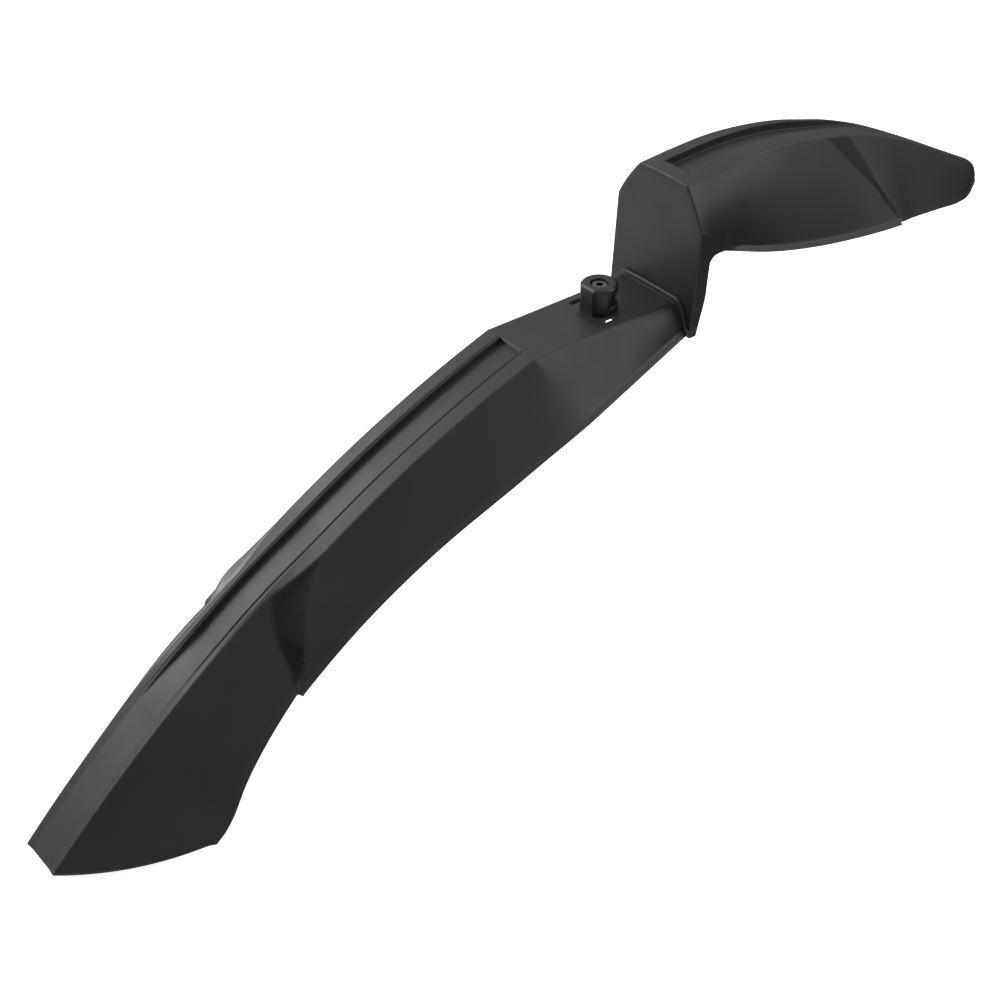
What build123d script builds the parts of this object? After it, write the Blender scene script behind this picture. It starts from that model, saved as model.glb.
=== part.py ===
from build123d import *
import math
import os

# Bicycle front mudguard. The origin is where the plug's axis meets the top of the crown plate,
# +X points forward along the bicycle and +Z up into the steerer tube. Millimetres and degrees.

# Moulding shared by blade and nose
wall = 2.4
lip_flare = 3.5
lip_height = 2.2
channel_half_width = 9.7
channel_floor_half_width = 7.3
channel_depth = 3.0
clear = 4.0

# Crown plate, flat around the plug, with an upstanding rim at its front end
crown_half_width = 20.3
crown_front = 41.0
crown_rear = 65.0
crown_fall = 0.2
crown_front_depth = 16.5
crown_front_half_low = 33.7
crown_front_bulge = 2.0
rim_height = 3.0
rim_thickness = 2.4

# Recess and latch slots in the crown plate
recess_depth = 1.0
recess_half_width = 17.5
recess_back = 14.0
slot_length = 9.0
slot_width = 3.2
slot_run = -5.5
slot_offset = 13.0

# Blade: its creases lie on an arc that starts at the rear of the crown plate
kink_angle = 18.3
blade_radius = 760.0
blade_crown = 0.8
blade_bulge = -0.5
# angle along the arc, rise of the top above it, depth of the lip below it, lip half width
blade_stations = (
    (kink_angle, 0.0, 35.2, 52.5),
    (22.4, 0.0, 34.0, 52.7),
    (27.2, 0.0, 31.3, 50.4),
    (31.5, -0.5, 30.1, 49.4),
    (35.4, -1.5, 30.8, 49.9),
)

# Tail: narrower on top than the blade, reached by a slanted facet on each side
facet_top_angle = 30.35
facet_foot = (34.95, 28.5, 46.2)
tail_bulge = 0.5
# angle, rise of the creases, crease half width, dish of the top, depth of the lip, lip half width
tail_stations = (
    (29.0, -2.6, 20.6, -0.6, 27.5, 42.0),
    (33.2, 2.0, 14.5, -1.2, 29.0, 44.6),
    (36.0, 3.2, 14.4, -0.4, 29.0, 49.0),
    (39.5, 5.0, 15.0, 0.9, 33.4, 54.8),
    (42.0, 5.8, 15.0, 0.8, 38.3, 58.0),
    (48.5, 7.8, 14.8, 0.4, 42.0, 60.0),
)
tail_end_angle = 47.1
tail_corner_turn = 0.35
tail_corner_drop = 1.1
tail_end_sag = 3.8
tail_cut_reach = 40.0
channel_end_angle = 39.5

# Upright rear wall of the nose, leaning forward a little, with side flanges
leg_lean = 3.6
leg_height = 70.6
leg_drop = 18.5
leg_shoulder_lift = 3.6
leg_half_width = 19.8
leg_half_low = 35.0
leg_bulge = 3.5
flange_depth = 9.5
flange_foot_depth = 5.0
flange_taper_height = 5.0
flange_fillet = 6.0

# Hood: it leaves the rear wall with a straight root, then runs forward and down
hood_root = 21.0
hood_root_rise = 1.7
hood_lip_height = 31.0
hood_crown = 0.6
# crest run and height, crest half width, lip run, height and half width, bulge of the side wall
hood_stations = (
    (97.0, 74.0, 19.0, 93.0, 24.2, 43.9, 2.2),
    (128.0, 72.4, 17.9, 125.0, 17.8, 47.3, 1.2),
    (161.0, 65.8, 16.2, 160.0, 12.0, 48.0, 0.8),
    (195.0, 55.5, 14.0, 190.0, 8.1, 47.9, 0.6),
    (217.0, 46.5, 12.5, 207.0, 6.0, 47.0, 0.6),
)
# Tip of the nose, narrower than the hood: crest, crest half width, lip, lip half width
tip_stations = (
    (150.0, 65.0, 14.0, 165.0, 14.0, 40.0),
    (186.0, 60.0, 14.5, 194.0, 10.5, 41.5),
    (222.0, 47.2, 11.6, 226.0, 2.3, 40.3),
    (262.0, 29.0, 7.6, 258.0, -5.0, 31.9),
    (298.0, 10.8, 4.6, 293.4, -14.7, 21.5),
    (318.0, 0.6, 3.6, 311.4, -18.7, 14.7),
    (331.0, -5.4, 3.4, 328.5, -17.3, 8.0),
)
tip_lip_flare = 1.6
tip_bulge = 0.6
tip_strip = 0.4
nose_facet_foot = (194.3, 33.5, 26.3)
pocket_margin = 9.0
pocket_end = (208.0, 52.9)

# Tongue of the nose, clamped under the crown plate
tongue_width = 12.0
tongue_back = 10.0
tongue_web = 4.0

# Plug and its fasteners
plug_diameter = 22.0
plug_height = 18.3
plug_flat = 9.6
plug_edge = 1.2
notch_height = 2.2
notch_lift = 4.0
notch_depth = 1.6
notch_start = 2.0
screw_diameter = 5.0
screw_length = 22.0
screw_head_diameter = 8.5
screw_socket = 4.0
screw_socket_depth = 2.5
screw_clearance = 0.5
head_clearance = 1.8
head_sink = 1.2
washer_diameter = 10.0
washer_thickness = 1.0
nut_flats = 8.0
nut_thickness = 4.0
thread_clearance = 0.1

lateral = Vector(0, 1, 0)
arc_x = blade_radius * math.sin(math.radians(kink_angle)) - crown_rear
arc_z = -blade_radius * math.cos(math.radians(kink_angle))
lean = math.tan(math.radians(leg_lean))


def blade_point(angle, rise, side=0.0):
    """A point above (or, with a negative rise, below) the crease arc of the blade."""
    turn = math.radians(angle)
    reach = blade_radius + rise
    return Vector(arc_x - reach * math.sin(turn), side, arc_z + reach * math.cos(turn))


def leg_point(height, ahead=0.0):
    """A point on the leaning rear face of the nose, or that far ahead of it."""
    return Vector(crown_front + lean * height + ahead, 0, height)


def section_plane(top, low):
    """The plane across the guard that holds its top and its lip, with local y pointing up."""
    return Plane(origin=top, x_dir=lateral, z_dir=lateral.cross(top - low))


def moved_corner(before, corner, after, inset):
    """The corner of a path after both legs have moved to their right by the inset."""
    first = (corner - before).normalized().rotate(Axis.Z, -90)
    second = (after - corner).normalized().rotate(Axis.Z, -90)
    return corner + (first + second) * (inset / (1 + first.dot(second)))


def guard_section(
    top,
    low,
    half_top,
    half_low,
    strip=channel_half_width,
    rise=blade_crown,
    bulge=blade_bulge,
    flare=lip_flare,
    lip=lip_height,
    inset=0.0,
    below=0.0,
):
    """A filled cross-section: flat top, strips beside the channel, side walls and turned lips."""
    depth = (top - low).length
    strip_edge = Vector(strip, rise)
    crease = Vector(half_top, 0)
    root = Vector(half_low - flare, lip - depth)
    tip = Vector(half_low, -depth)
    outward = (root - crease).normalized().rotate(Axis.Z, 90)
    middle = (crease + root) / 2 + outward * bulge
    path = (Vector(-strip, rise), strip_edge, crease, middle, root, tip)
    strip_edge, crease, middle, root = (moved_corner(*path[i : i + 3], inset) for i in range(4))
    down = (tip - path[4]).normalized()
    tip = tip + down.rotate(Axis.Z, -90) * inset + down * below
    with BuildSketch(section_plane(top, low)) as section:
        with BuildLine():
            Line(strip_edge, crease)
            ThreePointArc(crease, middle, root)
            Line(root, tip)
            mirror(about=Plane.YZ)
            Line((-strip_edge.X, strip_edge.Y), strip_edge)
            Line((-tip.X, tip.Y), tip)
        make_face()
    return section.sketch


def channel_section(plane, rise, depth, inset):
    """A trapezoid that opens upward, for the channel's outside or, inset, for its underside."""
    slope = (channel_half_width - channel_floor_half_width) / channel_depth
    floor = rise - depth - inset
    half_floor = channel_half_width - slope * depth + inset * (math.hypot(1, slope) - slope)
    top = rise + clear
    half_open = half_floor + slope * (top - floor)
    with BuildSketch(plane) as section:
        with BuildLine():
            Polyline(
                (-half_open, top), (-half_floor, floor), (half_floor, floor), (half_open, top), close=True
            )
        make_face()
    return section.sketch


def facet_plane(head, shoulder, foot, side, inset=0.0):
    """The slanted plane that steps one side wall in, facing outward."""
    corners = [Vector(p.X, side * p.Y, p.Z) for p in (head, shoulder, foot)]
    along = corners[1] - corners[0]
    normal = along.cross(corners[2] - corners[0])
    if normal.Y * side < 0:
        normal = normal * -1
    return Plane(origin=corners[0], x_dir=along, z_dir=normal).offset(-inset)


def blade_section(station, **moulding):
    """The blade's outline at one of its stations."""
    angle, rise, depth, half_low = station
    return guard_section(
        blade_point(angle, rise), blade_point(angle, -depth), crown_half_width, half_low, **moulding
    )


def crown_sections(inset, below, ahead):
    """The crown's outlines where it meets the blade and the nose."""
    moulding = dict(inset=inset, below=below)
    return [blade_section(blade_stations[0], **moulding), crown_front_section(ahead, **moulding)]


def crown_front_section(ahead=0.0, **moulding):
    """The crown's outline where it meets the rear wall of the nose."""
    return guard_section(
        leg_point(-crown_fall, ahead),
        leg_point(-crown_front_depth, ahead),
        crown_half_width,
        crown_front_half_low,
        rise=crown_fall,
        bulge=crown_front_bulge,
        **moulding,
    )


def blade_bodies(inset=0.0, below=0.0, ahead=0.0):
    """Blade, tail and crown plate as filled bodies: the outside or, inset, the hollow.

    The blade's hollow ends under the facets, where the tail's hollow takes over.
    """
    moulding = dict(inset=inset, below=below)
    blade = [blade_section(station, **moulding) for station in blade_stations]
    tail = []
    for angle, rise, half_top, dish, depth, half_low in tail_stations:
        top = blade_point(angle, rise)
        low = blade_point(angle, -depth)
        tail.append(guard_section(top, low, half_top, half_low, rise=-dish, bulge=tail_bulge, **moulding))
    shoulder_angle, shoulder_rise, shoulder_half = tail_stations[1][:3]
    foot_angle, foot_depth, foot_half = facet_foot
    head = blade_point(facet_top_angle, 0, crown_half_width)
    shoulder = blade_point(shoulder_angle, shoulder_rise, shoulder_half)
    foot = blade_point(foot_angle, -foot_depth, foot_half)
    with BuildPart() as blade_body:
        if inset:
            loft(sections=blade[:-1])
        else:
            loft(sections=blade)
            for side in (1, -1):
                split(bisect_by=facet_plane(head, shoulder, foot, side), keep=Keep.BOTTOM)
    with BuildPart() as tail_body:
        loft(sections=tail)
    with BuildPart() as crown_body:
        loft(sections=crown_sections(inset, below, ahead), ruled=True)
    return [blade_body.part, tail_body.part, crown_body.part]


def blade_channel(inset=0.0):
    """The channel along the top of the blade, which runs out on the tail."""
    start = kink_angle - math.degrees(inset / blade_radius)
    tail_angle, tail_rise, _, tail_dish = tail_stations[2][:4]
    edge = tail_rise - tail_dish
    stations = (
        (start, blade_crown, channel_depth),
        ((kink_angle + facet_top_angle) / 2, blade_crown, channel_depth),
        (facet_top_angle, blade_crown, channel_depth),
        (tail_angle, edge, channel_depth),
        (channel_end_angle, edge + blade_crown, 0),
    )
    sections = [
        channel_section(section_plane(blade_point(angle, 0), blade_point(angle, -1)), rise, depth, inset)
        for angle, rise, depth in stations
    ]
    with BuildPart() as channel:
        loft(sections=sections)
    return channel.part


def leg_sections(inset=0.0, below=0.0):
    """The rear wall's outline, at its face and where the hood's root ends."""
    front_top = leg_point(leg_height + hood_root_rise, hood_root)
    side = leg_drop + hood_lip_height + leg_shoulder_lift
    moulding = dict(rise=hood_crown, bulge=leg_bulge, flare=0, inset=inset, below=below)
    scale = math.hypot(1, lean)
    return [
        guard_section(top, low, leg_half_width, leg_half_low, lip=side * scale, **moulding)
        for top, low in (
            (leg_point(leg_height, inset), leg_point(-leg_drop, inset)),
            (front_top, leg_point(-leg_drop, hood_root)),
        )
    ]


def nose_body(inset=0.0, below=0.0, short=0.0):
    """Rear wall, hood and tip as one filled body: the outside or, inset, the hollow."""
    moulding = dict(inset=inset, below=below)
    root_lip = leg_shoulder_lift * math.hypot(1, lean)
    hood = [
        guard_section(
            leg_point(leg_height + hood_root_rise, hood_root),
            leg_point(hood_lip_height, hood_root),
            leg_half_width,
            leg_half_low,
            rise=hood_crown,
            bulge=leg_bulge,
            flare=0,
            lip=root_lip,
            **moulding,
        )
    ]
    for run, crest, half_top, lip_run, lip_z, half_low, bulge in hood_stations:
        top = Vector(run, 0, crest)
        low = Vector(lip_run, 0, lip_z)
        hood.append(guard_section(top, low, half_top, half_low, rise=hood_crown, bulge=bulge, **moulding))
    tip = []
    for run, crest, half_top, lip_run, lip_z, half_low in tip_stations:
        back = short if (run, crest) == tip_stations[-1][:2] else 0
        top = Vector(run - back, 0, crest)
        low = Vector(lip_run - back, 0, lip_z)
        tip.append(
            guard_section(
                top,
                low,
                half_top,
                half_low,
                strip=tip_strip * half_top,
                rise=hood_crown,
                bulge=tip_bulge,
                flare=tip_lip_flare,
                **moulding,
            )
        )
    facet_run, facet_crest, facet_half = hood_stations[2][:3]
    shoulder_run, shoulder_crest, shoulder_half = tip_stations[1][:3]
    head = Vector(facet_run, facet_half, facet_crest)
    shoulder = Vector(shoulder_run, shoulder_half, shoulder_crest)
    with BuildPart() as body:
        loft(sections=hood)
        for side in (1, -1):
            plane = facet_plane(head, shoulder, Vector(*nose_facet_foot), side, inset)
            split(bisect_by=plane, keep=Keep.BOTTOM)
        loft(sections=tip)
    return body.part


def nose_pocket(inset=0.0):
    """The pocket in the top of the hood, which runs out towards the tip."""
    rear_top = leg_point(leg_height, pocket_margin - inset)
    root_top = leg_point(leg_height + hood_root_rise, hood_root)
    tops = [rear_top, root_top] + [Vector(run, 0, crest) for run, crest, *_ in hood_stations[:3]]
    lows = [leg_point(0, pocket_margin - inset), leg_point(0, hood_root)]
    lows += [Vector(run, 0, low) for _, _, _, run, low, _, _ in hood_stations[:3]]
    tops.append(Vector(pocket_end[0], 0, pocket_end[1]))
    lows.append(Vector(tip_stations[1][3], 0, tip_stations[1][4]))
    depths = [channel_depth] * 5 + [0]
    with BuildPart() as pocket:
        loft(
            sections=[
                channel_section(section_plane(top, low), hood_crown, depth, inset)
                for top, low, depth in zip(tops, lows, depths)
            ]
        )
    return pocket.part


os.makedirs("parts", exist_ok=True)

# Rear blade: outside body with a rim and a channel, hollowed from below
blade_hollows = []
for body in blade_bodies(wall, clear, clear):
    with BuildPart() as blade_hollow:
        add(body)
        add(blade_channel(wall), mode=Mode.SUBTRACT)
    blade_hollows.append(blade_hollow.part)

with BuildPart() as rear_blade:
    add(blade_bodies())
    extrude(crown_front_section(inset=-rim_height), amount=-rim_thickness)
    add(blade_channel(), mode=Mode.SUBTRACT)
    add(blade_hollows, mode=Mode.SUBTRACT)
    with BuildSketch(Plane.XZ):
        with BuildLine():
            end = blade_point(tail_end_angle, tail_stations[-1][1])
            lip_angle, _, _, _, lip_depth, _ = tail_stations[-2]
            lip_end = blade_point(lip_angle, -lip_depth)
            corner = blade_point(lip_angle + tail_corner_turn, -lip_depth - tail_corner_drop)
            below_lip = lip_end.Z - 4 * tail_cut_reach
            curve = SagittaArc((end.X, end.Z), (corner.X, corner.Z), -tail_end_sag)
            run_out = curve @ 0 - curve % 0 * tail_cut_reach
            Polyline(
                curve @ 1,
                (lip_end.X, lip_end.Z),
                (lip_end.X, below_lip),
                (run_out.X, below_lip),
                run_out,
                curve @ 0,
            )
        make_face()
    extrude(amount=2 * tail_stations[-1][5], both=True, mode=Mode.SUBTRACT)
    with BuildSketch(Plane.XY.offset(-recess_depth)):
        recess_front = crown_front - rim_thickness
        with Locations(((recess_front - recess_back) / 2, 0)):
            Rectangle(recess_front + recess_back, 2 * recess_half_width)
    extrude(amount=recess_depth + clear, mode=Mode.SUBTRACT)
    with BuildSketch():
        Circle((screw_diameter + screw_clearance) / 2)
        with Locations((slot_run, slot_offset), (slot_run, -slot_offset)):
            SlotOverall(slot_length, slot_width)
    extrude(amount=-wall - clear, mode=Mode.SUBTRACT)
rear_blade.part.label = "rear_blade"
export_step(rear_blade.part, "parts/rear_blade.step")

# Front nose: rear wall with flanges, hood and tip, hollowed, then the tongue under the crown plate
with BuildPart() as leg:
    loft(sections=leg_sections(), ruled=True)
    with BuildSketch(Plane.XZ):
        with BuildLine():
            foot = leg_point(-leg_drop, flange_foot_depth)
            taper = leg_point(flange_taper_height, flange_depth)
            corner = leg_point(hood_lip_height, flange_depth)
            front = leg_point(hood_lip_height, hood_root + clear)
            Polyline(
                (foot.X, foot.Z - clear),
                (foot.X, foot.Z),
                (taper.X, taper.Z),
                (corner.X, corner.Z),
                (front.X, front.Z),
                (front.X, foot.Z - clear),
                close=True,
            )
        make_face()
        fillet(vertices().group_by(Axis.Y)[-1].sort_by(Axis.X)[0], flange_fillet)
    extrude(amount=leg_half_low + clear, both=True, mode=Mode.SUBTRACT)

with BuildPart() as nose_hollow:
    loft(sections=leg_sections(wall, clear), ruled=True)
    add(nose_body(wall, clear, wall))
    add(nose_pocket(wall), mode=Mode.SUBTRACT)

with BuildPart() as front_nose:
    add(leg.part)
    add(nose_body())
    add(nose_pocket(), mode=Mode.SUBTRACT)
    add(nose_hollow.part, mode=Mode.SUBTRACT)
    extrude(crown_front_section(inset=wall, below=clear), amount=wall + clear, mode=Mode.SUBTRACT)
    with BuildSketch(section_plane(leg_point(0), leg_point(-1))):
        with Locations((0, tongue_web)):
            Rectangle(tongue_width, tongue_web + 2 * wall, align=(Align.CENTER, Align.MAX))
    extrude(amount=wall)
    with BuildSketch(Plane.XY.offset(-2 * wall)):
        with Locations((-tongue_back, 0)):
            Rectangle(tongue_back + crown_front, tongue_width, align=(Align.MIN, Align.CENTER))
        Circle((screw_diameter + screw_clearance) / 2, mode=Mode.SUBTRACT)
    extrude(amount=wall)
front_nose.part.label = "front_nose"
export_step(front_nose.part, "parts/front_nose.step")

# Steerer plug: a cylinder with a flat at the back, a notch at the front and a counterbored hole
plug_base = -recess_depth
plug_top = plug_base + plug_height
head_height = screw_diameter
counterbore_depth = head_height + head_sink
with BuildPart() as steerer_plug:
    with BuildSketch(Plane.XY.offset(plug_base)):
        Circle(plug_diameter / 2)
        with Locations((-plug_flat, 0)):
            Rectangle(plug_diameter, plug_diameter, align=(Align.MIN, Align.CENTER), mode=Mode.INTERSECT)
    extrude(amount=plug_height)
    chamfer(edges().group_by(Axis.Z)[-1], plug_edge)
    with BuildSketch(Plane.XY.offset(plug_base + notch_lift)):
        Circle(plug_diameter / 2 + clear)
        Circle(plug_diameter / 2 - notch_depth, mode=Mode.SUBTRACT)
        with Locations((notch_start, 0)):
            Rectangle(plug_diameter, 2 * plug_diameter, align=(Align.MIN, Align.CENTER), mode=Mode.INTERSECT)
    extrude(amount=notch_height, mode=Mode.SUBTRACT)
    with Locations((0, 0, plug_top)):
        CounterBoreHole(
            (screw_diameter + screw_clearance) / 2,
            (screw_head_diameter + head_clearance) / 2,
            counterbore_depth,
        )
steerer_plug.part.label = "steerer_plug"
export_step(steerer_plug.part, "parts/steerer_plug.step")

# Socket-head screw through plug, crown plate and tongue, with its washer and nut
head_seat = plug_top - counterbore_depth
with BuildPart() as plug_screw:
    with BuildSketch(Plane.XY.offset(head_seat)):
        Circle(screw_head_diameter / 2)
    extrude(amount=head_height)
    with BuildSketch(Plane.XY.offset(head_seat + head_height)):
        RegularPolygon(screw_socket / 2, 6, major_radius=False)
    extrude(amount=-screw_socket_depth, mode=Mode.SUBTRACT)
    with BuildSketch(Plane.XY.offset(head_seat)):
        Circle(screw_diameter / 2)
    extrude(amount=-screw_length)
plug_screw.part.label = "plug_screw"
export_step(plug_screw.part, "parts/plug_screw.step")

washer_top = -2 * wall
with BuildPart() as plug_washer:
    with BuildSketch(Plane.XY.offset(washer_top)):
        Circle(washer_diameter / 2)
        Circle((screw_diameter + screw_clearance) / 2, mode=Mode.SUBTRACT)
    extrude(amount=-washer_thickness)
plug_washer.part.label = "plug_washer"
export_step(plug_washer.part, "parts/plug_washer.step")

with BuildPart() as plug_nut:
    with BuildSketch(Plane.XY.offset(washer_top - washer_thickness)):
        RegularPolygon(nut_flats / 2, 6, major_radius=False)
        Circle((screw_diameter + thread_clearance) / 2, mode=Mode.SUBTRACT)
    extrude(amount=-nut_thickness)
plug_nut.part.label = "plug_nut"
export_step(plug_nut.part, "parts/plug_nut.step")
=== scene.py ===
import math

import bpy
import numpy as np
from mathutils import Matrix, Vector


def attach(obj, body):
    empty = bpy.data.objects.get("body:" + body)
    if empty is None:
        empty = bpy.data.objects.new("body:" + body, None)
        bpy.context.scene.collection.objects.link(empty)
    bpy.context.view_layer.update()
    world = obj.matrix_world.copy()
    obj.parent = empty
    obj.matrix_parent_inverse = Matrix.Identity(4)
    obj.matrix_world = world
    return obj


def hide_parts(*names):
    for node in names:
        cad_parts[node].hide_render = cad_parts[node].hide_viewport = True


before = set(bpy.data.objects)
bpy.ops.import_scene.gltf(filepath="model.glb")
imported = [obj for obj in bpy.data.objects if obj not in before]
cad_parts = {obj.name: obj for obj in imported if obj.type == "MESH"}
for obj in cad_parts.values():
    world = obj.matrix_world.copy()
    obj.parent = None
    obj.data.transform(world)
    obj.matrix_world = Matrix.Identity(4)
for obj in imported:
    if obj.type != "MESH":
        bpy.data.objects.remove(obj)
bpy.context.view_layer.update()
print("frame loaded:", sorted(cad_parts))

mm = 0.001  # arrays are in millimetres, meshes in metres


# curve and surface helpers

def hermite(x, knots, values):
    # cubic through the knots, its slope at each knot taken from the neighbours
    knots = np.asarray(knots, float)
    values = np.asarray(values, float)
    slope = np.gradient(values, knots)
    x = np.clip(x, knots[0], knots[-1])
    i = np.clip(np.searchsorted(knots, x, side="right") - 1, 0, len(knots) - 2)
    span = knots[i + 1] - knots[i]
    t = (x - knots[i]) / span
    ends = values[i] * (1 + 2 * t) * (1 - t) ** 2 + values[i + 1] * t * t * (3 - 2 * t)
    return ends + span * t * (1 - t) * (slope[i] * (1 - t) - slope[i + 1] * t)


def softMin(a, b, k):
    # the smaller of two heights, rounded over k where they cross
    w = np.clip(0.5 + 0.5 * (b - a) / k, 0, 1)
    return b + (a - b) * w - k * w * (1 - w)


def softMax(a, b, k):
    return -softMin(-a, -b, k)


def rampUp(x, low, high):
    t = np.clip((x - low) / (high - low), 0, 1)
    return t * t * (3 - 2 * t)


def lookUp(x, table):
    # straight lines between the pairs of a table
    return np.interp(x, *np.array(table).T)


def bothSides(half, marks):
    # one half mirrored across the middle, whose column both share
    left = half[:, :0:-1] * np.array([1.0, -1.0, 1.0])
    return np.concatenate((left, half), axis=1), np.concatenate((marks[:, :0:-1], marks), axis=1)


def shellFaces(cut):
    # quads of an outer and an inner sheet, and ribbons wherever a quad has no neighbour
    rows, cols = cut.shape[0] + 1, cut.shape[1] + 1
    outer = np.arange(rows * cols).reshape(rows, cols)
    inner = outer + rows * cols
    keep = ~cut
    corners = lambda g: np.stack((g[:-1, :-1], g[:-1, 1:], g[1:, 1:], g[1:, :-1]), -1)
    sheets = np.concatenate((corners(outer)[keep], corners(inner)[keep][:, ::-1]))
    full = np.pad(keep, 1)
    ribbons = []
    for first, second, missing in (
        ((0, 1), (0, 0), full[:-2, 1:-1]),
        ((1, 0), (1, 1), full[2:, 1:-1]),
        ((0, 0), (1, 0), full[1:-1, :-2]),
        ((1, 1), (0, 1), full[1:-1, 2:]),
    ):
        i, j = np.nonzero(keep & ~missing)
        a = (i + first[0], j + first[1])
        b = (i + second[0], j + second[1])
        ribbons.append(np.stack((outer[a], outer[b], inner[b], inner[a]), -1))
    return sheets, np.concatenate(ribbons)


def ringFaces(rows, cols):
    # quads of a grid that closes both ways
    ids = np.arange(rows * cols).reshape(rows, cols)
    ids = np.concatenate((ids, ids[:, :1]), axis=1)
    ids = np.concatenate((ids, ids[:1]), axis=0)
    return np.stack((ids[:-1, :-1], ids[:-1, 1:], ids[1:, 1:], ids[1:, :-1]), -1).reshape(-1, 4)


def addPiece(name, points, sheets, ribbons, node, material, marks=None):
    # points in millimetres; sheets are shaded smooth, ribbons flat
    faces = np.concatenate((sheets, ribbons)) if len(ribbons) else sheets
    mesh = bpy.data.meshes.new(name)
    mesh.from_pydata((points.reshape(-1, 3) * mm).tolist(), [], faces.tolist())
    smooth = np.arange(len(faces)) < len(sheets)
    mesh.polygons.foreach_set("use_smooth", smooth)
    for label, values in (marks or {}).items():
        layer = mesh.attributes.new(label, "FLOAT", "POINT")
        layer.data.foreach_set("value", values.ravel().astype(np.float32))
    mesh.materials.append(material)
    mesh.update()
    piece = bpy.data.objects.new(name, mesh)
    bpy.context.scene.collection.objects.link(piece)
    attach(piece, "root")
    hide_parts(node)
    print("piece", name, len(points.reshape(-1, 3)), "points", len(faces), "quads")
    return piece


# materials

def linearColor(hexText):
    parts = [int(hexText[i:i + 2], 16) / 255 for i in (1, 3, 5)]
    return [c / 12.92 if c <= 0.04045 else ((c + 0.055) / 1.055) ** 2.4 for c in parts] + [1.0]


def addNode(tree, kind, settings=None, links=None):
    node = tree.nodes.new(kind)
    for key, value in (settings or {}).items():
        if isinstance(key, int) or key in node.inputs:
            node.inputs[key].default_value = value
        else:
            setattr(node, key, value)
    for key, source in (links or {}).items():
        tree.links.new(source, node.inputs[key])
    return node


def newMaterial(name):
    material = bpy.data.materials.new(name)
    material.use_nodes = True
    material.node_tree.nodes.clear()
    return material, material.node_tree


def perMetre(sizeMm):
    return 1000.0 / sizeMm


# pointiness at which the painted highlight on sharp edges starts and ends and how strong it gets,
# clouds that set the gloss, strength of the grain on satin and on polished faces
mouldSet = {"paintedEdgeSheen": (0.52, 0.60, 0.35), "clouds": (0.3, 0.7), "grain": (0.35, 0.02), "ior": 1.49}
guardFinish = {
    "dark": "#18191b", "light": "#222326", "grainMm": 0.7, "cloudMm": 38.0,
    "rough": (0.40, 0.52), "polished": 0.16, "bumpMm": 0.03, "paintedSheenTone": "#55575b", "deep": "#0c0d0e",
}
plugFinish = {
    "dark": "#0e0f10", "light": "#191a1c", "grainMm": 0.5, "cloudMm": 9.0,
    "rough": (0.34, 0.48), "polished": 0.2, "bumpMm": 0.02, "paintedSheenTone": "#505256", "deep": "#0a0b0c",
}


def mouldedPlastic(name, finish):
    # black moulding: satin with a fine spark-eroded grain, slow clouds in the gloss, a painted highlight
    # paling the sharp edges, and polished facets where the piece carries a gloss mark
    material, tree = newMaterial(name)
    place = addNode(tree, "ShaderNodeTexCoord").outputs["Object"]
    cloud = addNode(
        tree, "ShaderNodeTexNoise",
        {"Scale": perMetre(finish["cloudMm"]), "Detail": 4.0, "Roughness": 0.55}, {"Vector": place},
    ).outputs["Fac"]
    grain = addNode(
        tree, "ShaderNodeTexNoise",
        {"Scale": perMetre(finish["grainMm"]), "Detail": 2.0, "Roughness": 0.6}, {"Vector": place},
    ).outputs["Fac"]
    tone = addNode(
        tree, "ShaderNodeMix",
        {"data_type": "RGBA", 6: linearColor(finish["dark"]), 7: linearColor(finish["light"])}, {0: grain},
    ).outputs[2]
    # painted highlight: sharp edges paled towards a lighter grey, standing in for the light their rounding
    # catches
    edge = addNode(tree, "ShaderNodeNewGeometry").outputs["Pointiness"]
    start, end, most = mouldSet["paintedEdgeSheen"]
    paintedEdgeSheen = addNode(
        tree, "ShaderNodeMapRange", {"From Min": start, "From Max": end, "To Max": most}, {"Value": edge}
    ).outputs["Result"]
    tone = addNode(
        tree, "ShaderNodeMix", {"data_type": "RGBA", 7: linearColor(finish["paintedSheenTone"])}, {0: paintedEdgeSheen, 6: tone}
    ).outputs[2]
    gloss = addNode(tree, "ShaderNodeAttribute", {"attribute_name": "gloss"}).outputs["Fac"]
    # the gloss mark also deepens the base colour: partly the deeper black of a polished face, partly painted
    # shade for the dark surroundings the facets mirror
    tone = addNode(
        tree, "ShaderNodeMix", {"data_type": "RGBA", 7: linearColor(finish["deep"])}, {0: gloss, 6: tone}
    ).outputs[2]
    (start, end), (low, high) = mouldSet["clouds"], finish["rough"]
    rough = addNode(
        tree, "ShaderNodeMapRange",
        {"From Min": start, "From Max": end, "To Min": low, "To Max": high}, {"Value": cloud},
    ).outputs["Result"]
    rough = addNode(
        tree, "ShaderNodeMix", {"data_type": "FLOAT", 3: finish["polished"]}, {0: gloss, 2: rough}
    ).outputs[0]
    satin, polished = mouldSet["grain"]
    depth = addNode(
        tree, "ShaderNodeMapRange", {"To Min": satin, "To Max": polished}, {"Value": gloss}
    ).outputs["Result"]
    bump = addNode(
        tree, "ShaderNodeBump", {"Distance": finish["bumpMm"] * mm}, {"Strength": depth, "Height": grain}
    ).outputs["Normal"]
    shader = addNode(
        tree, "ShaderNodeBsdfPrincipled", {"IOR": mouldSet["ior"]},
        {"Base Color": tone, "Roughness": rough, "Normal": bump},
    )
    addNode(tree, "ShaderNodeOutputMaterial", None, {"Surface": shader.outputs["BSDF"]})
    return material


zincFinish = {
    "pale": "#85888c", "dull": "#1d1f21", "cloudMm": 1.4, "scratchMm": 0.12, "stretch": (0.15, 0.15, 1.0),
    "rough": (0.22, 0.42), "bump": 0.15, "bumpMm": 0.01,
}


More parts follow.
